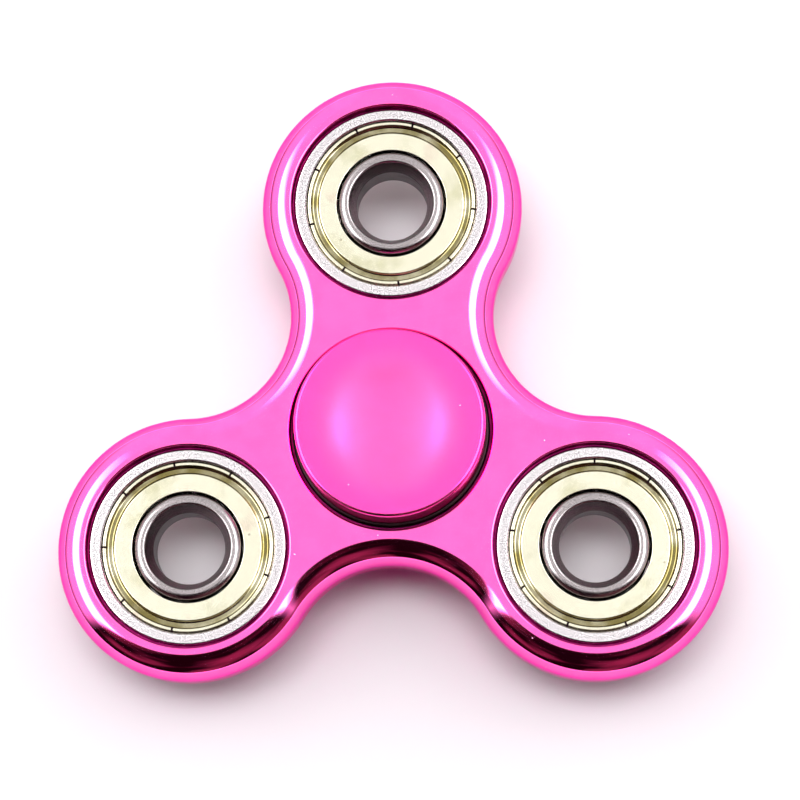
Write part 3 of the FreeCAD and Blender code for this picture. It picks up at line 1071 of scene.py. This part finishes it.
@dataclass
class Bearing:
    """A shielded ball bearing, 22 mm across, 7 mm wide and 8 mm in the bore."""

    prefix: str
    inner_body: str
    outer_body: str
    outer_edge: float = 0.34 * MM
    bore_edge: float = 0.8 * MM
    chamfer_depth: float = 1.75 * MM
    chamfer_rounding: float = 0.3 * MM
    # depth below the face where the inner ring's painted shade starts
    shade_depth: float = 0.3 * MM
    land_edge: float = 0.85 * MM
    inner_land: float = 6.05 * MM
    bore: float = 4.0 * MM
    outer_land: float = 8.85 * MM
    half_width: float = 3.5 * MM
    seat: float = 9.62 * MM
    seat_bevel: float = 0.17 * MM
    seat_rounding: float = 0.04 * MM
    seat_floor: float = 2.6 * MM
    pitch: float = 7.5 * MM
    track: float = 2.0444 * MM
    shield_bore: float = 6.22 * MM
    shield_sheet: float = 0.3 * MM
    shield_face: float = 3.15 * MM
    shield_step_radius: float = 8.15 * MM
    shield_step: float = 0.2 * MM
    shield_channel: float = 9.0 * MM
    rim_inner: float = 9.12 * MM
    rim_outer: float = 9.42 * MM
    rim_height: float = 3.36 * MM
    rim_rounding: float = 0.07 * MM
    rim_foot_rounding: float = 0.02 * MM
    under_rounding: float = 0.03 * MM
    bend_rounding: float = 0.05 * MM
    bore_rounding: float = 0.06 * MM
    step_top_rounding: float = 0.14 * MM
    channel_rounding: Band = (0.35 * MM, 0.3 * MM)
    notches: int = 9
    notch_width: float = 0.24 * MM
    notch_floor: float = 0.05 * MM
    notch_spacing_steps: int = 20
    ring_steps: int = 12
    shield_steps: int = 5
    shield_turn: float = 0.0
    # True where the cap shades the bearing: its outer ring takes the near-black steel as painted shade
    oiled: bool = False

    def __post_init__(self) -> None:
        """Read the bearing's place."""
        self.station = Station.of(f"{self.prefix}_outer_ring")

    def outer_race(self, material: bpy.types.Material) -> bpy.types.Object:
        """Make the outer ring, with a ball track and a seat for each shield.

        Args:
            material: Its ground steel.

        Returns:
            The object.
        """
        track = groove(self.pitch, self.track, self.outer_land, inward=False)
        upper = [
            Corner(self.station.radius, self.half_width, self.outer_edge),
            Corner(self.seat + self.seat_bevel, self.half_width, self.seat_rounding),
            Corner(self.seat, self.half_width - self.seat_bevel, self.seat_rounding),
            Corner(self.seat, self.seat_floor),
            Corner(self.outer_land, self.seat_floor),
        ]
        mesher = Mesher(f"{self.prefix}_outer_race")
        profile = rounded_profile([*upper, *track, *mirrored(upper)], closed=True)
        mesher.ring(profile, self.station.centre, SEGMENTS, closed=True)
        piece = mesher.build(material)
        settle(piece, self.outer_body, f"{self.prefix}_outer_ring")
        return piece

    def inner_race(self, material: bpy.types.Material, shade_finish: bpy.types.Material) -> bpy.types.Object:
        """Make the inner ring, crowned on its face and chamfered into its bore.

        Args:
            material: Its ground steel.
            shade_finish: A dark copy of the steel in its bore and chamfer, painted shade.

        Returns:
            The object.
        """
        track = groove(self.pitch, self.track, self.inner_land, inward=True)
        upper = [
            Corner(self.inner_land, self.half_width, self.land_edge),
            Corner(self.bore + self.bore_edge, self.half_width, self.chamfer_rounding),
            Corner(self.bore, self.half_width - self.chamfer_depth, self.chamfer_rounding),
        ]
        mesher = Mesher(f"{self.prefix}_inner_race")
        profile = rounded_profile([*upper, *mirrored(upper), *track], closed=True, steps=self.ring_steps)
        # the bore and chamfer below that depth take the dark steel, painted shade
        mesher.ring(profile, self.station.centre, SEGMENTS, closed=True,
                    recess=self.half_width - self.shade_depth)
        piece = mesher.build(material, shade_finish)
        settle(piece, self.inner_body, f"{self.prefix}_inner_ring")
        return piece

    def shield_profile(self) -> list[ProfilePoint]:
        """The shield's closed cross-section, counted from the bearing's mid-plane.

        Returns:
            The section's points.
        """
        low = self.shield_face - self.shield_step
        step_end = self.shield_step_radius + self.shield_step
        outer_bend, inner_bend = self.channel_rounding
        corners = [
            Corner(self.shield_bore, self.shield_face - self.shield_sheet, self.under_rounding),
            Corner(self.shield_step_radius, self.shield_face - self.shield_sheet, self.bend_rounding),
            Corner(step_end, low - self.shield_sheet, self.bend_rounding),
            Corner(self.shield_channel, self.seat_floor, self.under_rounding),
            Corner(self.seat, self.seat_floor, self.under_rounding),
            Corner(self.seat, low, self.rim_foot_rounding),
            Corner(self.rim_outer, self.rim_height, self.rim_rounding),
            Corner(self.rim_inner, self.rim_height, self.rim_rounding),
            Corner(self.shield_channel, low, inner_bend),
            Corner(step_end, low, outer_bend),
            Corner(self.shield_step_radius, self.shield_face, self.step_top_rounding),
            Corner(self.shield_bore, self.shield_face, self.bore_rounding),
        ]
        return rounded_profile(corners, closed=True, steps=self.shield_steps)

    def shield(self, side: Side, material: bpy.types.Material,
               shade_finish: bpy.types.Material) -> bpy.types.Object:
        """Make a pressed shield with its notched rim.

        Args:
            side: Which face of the bearing it closes.
            material: Its plating.
            shade_finish: The near-black steel in its notches, painted shade.

        Returns:
            The object.
        """
        name = side.name.lower()
        whole = self.shield_profile()
        slot_floor = self.seat_floor + self.notch_floor
        cut = [p if p.up <= slot_floor or p.across < self.shield_channel
               else ProfilePoint(p.across, slot_floor, 0.0, 1.0) for p in whole]
        turn = math.radians(self.shield_turn) if side is Side.UPPER else 0.0
        notch = self.notch_width / self.rim_inner / 2
        pitch = FULL_TURN / self.notches
        free = (pitch - 2 * notch) / self.notch_spacing_steps
        sections = []
        notched_rows = []
        for index in range(self.notches):
            middle = turn + index * pitch
            notched_rows += range(len(sections), len(sections) + 3)
            sections += [(middle - notch, whole), (middle - notch, cut), (middle + notch, cut)]
            sections += [(middle + notch + free * step, whole) for step in range(self.notch_spacing_steps)]
        per_row = len(whole)
        notched_steps = [step for step in range(per_row)
                         if slot_floor in (cut[step].up, cut[(step + 1) % per_row].up)]
        flip = -1 if side is Side.LOWER else 1
        rows = []
        for angle, profile in sections:
            c, s = math.cos(angle), math.sin(angle)
            rows.append([(Vector((p.across * c, p.across * s * flip, p.up * flip)) + self.station.centre,
                          Vector((p.normal_across * c, p.normal_across * s * flip, p.normal_up * flip)))
                         for p in [*profile, profile[0]]])
        mesher = Mesher(f"{self.prefix}_{name}_shield_plate")
        # the notched faces take the near-black steel, painted shade
        mesher.strip(rows, closed=True,
                     recessed=frozenset((row, step) for row in notched_rows for step in notched_steps))
        piece = mesher.build(material, shade_finish)
        settle(piece, self.outer_body, f"{self.prefix}_{name}_shield")
        return piece

    def build(self, palette: "Palette") -> None:
        """Make the rings and shields, and dress the cages, balls and rivets.

        Args:
            palette: The finished materials.
        """
        # under the cap the outer ring is painted in shade
        self.outer_race(palette.oiled if self.oiled else palette.outer_ring)
        # the inner ring's bore takes painted shade
        self.inner_race(palette.inner_ring, palette.bore)
        for side in Side:
            self.shield(side, palette.shield, palette.oiled)
            dress(f"{self.prefix}_{side.name.lower()}_cage", palette.cage)
        dress(f"{self.prefix}_balls", palette.ball)
        dress(f"{self.prefix}_cage_rivets", palette.cage)


class Palette:
    """Every finish as a material, made once."""

    def __init__(self, effects: SharedEffects) -> None:
        """Make the materials.

        Args:
            effects: The shared node groups.
        """
        self.body = BODY_PLATING.make(effects)
        # painted shade for the bearing holes' walls and floors
        self.recess = RECESS_SHADE_PLATING.make(effects)
        self.cap = CAP_PLATING.make(effects)
        self.outer_ring = OUTER_RING_STEEL.make(effects)
        self.inner_ring = INNER_RING_STEEL.make(effects)
        # painted shade for the inner rings' bores and chamfers
        self.bore = BORE_SHADE_STEEL.make(effects)
        # painted shade under the cap and in the shields' notches
        self.oiled = PAINTED_SHADE_STEEL.make(effects)
        self.shield = SHIELD_ZINC.make(effects)
        self.cage = CAGE_STEEL.make(effects)
        self.ball = BALL_STEEL.make(effects)


# ---------------------------------------------------------------- studio

@dataclass(frozen=True)
class Lean:
    """A direction's parts as sockets, counted from the zenith.

    height is its upward part, aside its distance to either side of the panels' middle, forward its
    part to the front, and level how far it leans in all; to_front and to_side are shares of level.
    """

    height: bpy.types.NodeSocket
    aside: bpy.types.NodeSocket
    forward: bpy.types.NodeSocket
    level: bpy.types.NodeSocket
    to_front: bpy.types.NodeSocket
    to_side: bpy.types.NodeSocket


@dataclass
class Studio:
    """The pale floor, the light tent around it and the camera."""

    floor_size: float = 3.0
    floor_tint: Rgb = (0.8, 0.8, 0.8)
    floor_roughness: float = 0.9
    tent_light: float = 1.4
    panel_light: float = 8.0
    panel_offset: float = 0.043
    panel_sides: Band = (0.5, 0.85)
    panel_near: Band = (0.24, 0.36)
    panel_far: Band = (0.72, 0.66)
    glow_light: float = 0.15
    glow_reach: Band = (0.08, 0.24)
    opening_sides: Band = (0.38, 0.56)
    opening_start: Band = (0.05, 0.1)
    opening_clouds: Band = (0.42, 0.66)
    opening_cloud_scale: float = 1.7
    opening_dark: Rgb = (0.012, 0.001, 0.005)
    opening_red: Rgb = (0.3, 0.1, 0.12)
    skyline_height: Band = (0.3, 0.12)
    skyline_sides: Band = (0.3, 0.9)
    skyline_tint: Rgb = (0.3, 0.25, 0.28)
    horizon_height: Band = (0.045, 0.025)
    horizon_light: Rgb = (3.0, 2.6, 2.8)
    least_level: float = 0.001
    floor_back_light: float = 1.6
    floor_back: Band = (0.2, -0.6)
    floor_top_light: float = 7.0
    floor_top: Band = (0.5, 0.2)
    floor_top_front: Band = (0.08, -0.12)
    floor_side_light: float = 1.1
    floor_side_height: Band = (0.05, 0.2)
    floor_side_front: Band = (0.45, 0.05)
    floor_green_share: float = 0.96
    lens: float = 119.4
    clip_start: float = 0.01
    clip_end: float = 20.0
    camera_place: Vector = Vector((13.0, -51.1, 301.6)) * MM
    camera_aim: Vector = Vector((1.0, 3.3, 11.6)) * MM

    def floor(self) -> None:
        """Lay a plain pale floor under the spinner."""
        half = self.floor_size / 2
        mesh = bpy.data.meshes.new("floor")
        corners = [(-half, -half, 0), (half, -half, 0), (half, half, 0), (-half, half, 0)]
        mesh.from_pydata(corners, [], [(0, 1, 2, 3)])
        floor = bpy.data.objects.new("floor", mesh)
        bpy.context.scene.collection.objects.link(floor)
        material = bpy.data.materials.new("pale_floor")
        material.use_nodes = True
        shader = material.node_tree.nodes["Principled BSDF"]
        shader.inputs["Base Color"].default_value = colour(self.floor_tint)
        shader.inputs["Roughness"].default_value = self.floor_roughness
        shader.inputs["Specular IOR Level"].default_value = 0.0
        mesh.materials.append(material)

    def tent(self) -> None:
        """Light everything from a white tent with two bright side panels and an open front."""
        world = bpy.data.worlds.new("light_tent")
        bpy.context.scene.world = world
        world.use_nodes = True
        # the light's answer differs by kind of ray, so it is only found by rays that leave a surface
        world.cycles.sampling_method = "NONE"
        tree = Tree(world.node_tree.nodes, world.node_tree.links)
        tree.nodes.clear()
        direction = tree.add("ShaderNodeTexCoord").outputs["Generated"]
        lean = self.lean(tree, direction)
        sideways = tree.ramp(lean.to_side, self.panel_sides)
        rays = tree.add("ShaderNodeLightPath").outputs
        light = tree.mix(rays["Is Diffuse Ray"], self.mirrored_light(tree, direction, lean, sideways),
                         self.floor_light(tree, lean, sideways))
        light = tree.mix(rays["Is Camera Ray"], light, colour(WHITE))
        background = tree.feed(tree.add("ShaderNodeBackground"), Color=light, Strength=1.0)
        tree.links.new(background.outputs[0], tree.add("ShaderNodeOutputWorld").inputs[0])

    def lean(self, tree: Tree, direction: bpy.types.NodeSocket) -> Lean:
        """Take a direction apart.

        Args:
            tree: The world's tree.
            direction: The direction's socket.

        Returns:
            Its parts.
        """
        split = tree.feed(tree.add("ShaderNodeSeparateXYZ"), Vector=direction)
        x, y, z = (split.outputs[axis] for axis in range(3))
        aside = tree.math("ABSOLUTE", tree.math("ADD", x, self.panel_offset))
        forward = tree.times(y, -1.0)
        level = tree.math("SQRT", tree.math("ADD", tree.times(aside, aside), tree.times(y, y)))
        level = tree.math("MAXIMUM", level, self.least_level)
        return Lean(z, aside, forward, level, tree.math("DIVIDE", forward, level),
                    tree.math("DIVIDE", aside, level))

    def mirrored_light(self, tree: Tree, direction: bpy.types.NodeSocket, lean: Lean,
                       sideways: bpy.types.NodeSocket) -> bpy.types.NodeSocket:
        """What polished metal mirrors of the tent: its walls, side panels and dark opening.

        Args:
            tree: The world's tree.
            direction: The direction that is looked at.
            lean: Its parts.
            sideways: 1 where it points to the side panels.

        Returns:
            The light's colour socket.
        """
        opening = tree.times(tree.ramp(lean.to_front, self.opening_sides),
                             tree.ramp(lean.forward, self.opening_start))
        panel = tree.times(sideways, tree.ramp(lean.level, self.panel_near),
                           tree.ramp(lean.level, self.panel_far), self.panel_light)
        glow = tree.times(tree.ramp(lean.aside, self.glow_reach), self.glow_light)
        extra = tree.times(tree.math("ADD", panel, glow), tree.math("SUBTRACT", 1.0, opening))
        skyline = tree.times(tree.ramp(lean.height, self.skyline_height),
                             tree.ramp(lean.to_side, self.skyline_sides))
        clouds = tree.ramp(tree.noise(direction, self.opening_cloud_scale), self.opening_clouds)
        night = tree.mix(clouds, colour(self.opening_dark), colour(self.opening_red))
        wall = tree.mix(skyline, colour(WHITE), colour(self.skyline_tint))
        lit = tree.add("ShaderNodeVectorMath", operation="SCALE")
        tree.feed(lit, in0=wall, Scale=tree.math("ADD", self.tent_light, extra))
        sky = tree.mix(opening, lit.outputs[0], night)
        return tree.mix(tree.ramp(lean.height, self.horizon_height), sky, colour(self.horizon_light))

    def floor_light(self, tree: Tree, lean: Lean,
                    sideways: bpy.types.NodeSocket) -> bpy.types.NodeSocket:
        """What lights the floor: the sides and the back, so that its shadow falls to the front.

        Args:
            tree: The world's tree.
            lean: The parts of the direction that the light comes from.
            sideways: 1 where it points to the side panels.

        Returns:
            The light's colour socket.
        """
        behind = tree.times(tree.ramp(lean.to_front, self.floor_back), self.floor_back_light)
        overhead = tree.times(tree.ramp(lean.level, self.floor_top),
                              tree.ramp(lean.forward, self.floor_top_front), self.floor_top_light)
        beside = tree.times(sideways, tree.ramp(lean.height, self.floor_side_height),
                            tree.ramp(lean.to_front, self.floor_side_front), self.floor_side_light)
        shed = tree.math("ADD", tree.math("ADD", behind, overhead), beside)
        soft = tree.add("ShaderNodeCombineXYZ")
        tree.feed(soft, X=shed, Y=tree.times(shed, self.floor_green_share), Z=shed)
        return soft.outputs[0]

    def camera(self) -> None:
        """Set the camera above the front of the spinner, with the first lobe upright."""
        data = bpy.data.cameras.new("camera")
        data.lens = self.lens
        data.clip_start = self.clip_start
        data.clip_end = self.clip_end
        camera = bpy.data.objects.new("camera", data)
        bpy.context.scene.collection.objects.link(camera)
        back = (self.camera_place - self.camera_aim).normalized()
        right = Vector((0, 1, 0)).cross(back).normalized()
        up = back.cross(right)
        turned = Matrix((right, up, back)).transposed().to_4x4()
        camera.matrix_world = Matrix.Translation(self.camera_place) @ turned
        bpy.context.scene.camera = camera

    def build(self) -> None:
        """Make the floor, the light and the camera."""
        self.floor()
        self.tent()
        self.camera()
        view = bpy.context.scene.view_settings
        view.view_transform = "Standard"
        view.look = "None"


def main() -> None:
    """Build the spinner's looks round the frame, and the studio that shows it."""
    logging.basicConfig(level=logging.INFO, format="%(name)s: %(message)s")
    effects = SharedEffects()
    palette = Palette(effects)
    # the centre bearing sits under the cap, so its outer ring is painted in shade
    bearings = [Bearing("center", "hub", "rotor", oiled=True)]
    for number, turn in enumerate(LOBE_SHIELD_TURNS, start=1):
        name = f"weight_{number}"
        bearings.append(Bearing(name, f"{name}_inner", "rotor", shield_turn=turn))
    hub, *lobes = [bearing.station for bearing in bearings]
    PlatedBody(hub, lobes).build(palette.body, palette.recess)
    ThumbCap("upper_cap", Side.UPPER, hub).build(palette.cap)
    ThumbCap("lower_cap", Side.LOWER, hub).build(palette.cap)
    for bearing in bearings:
        bearing.build(palette)
    Studio().build()


if __name__ == "__main__":
    main()
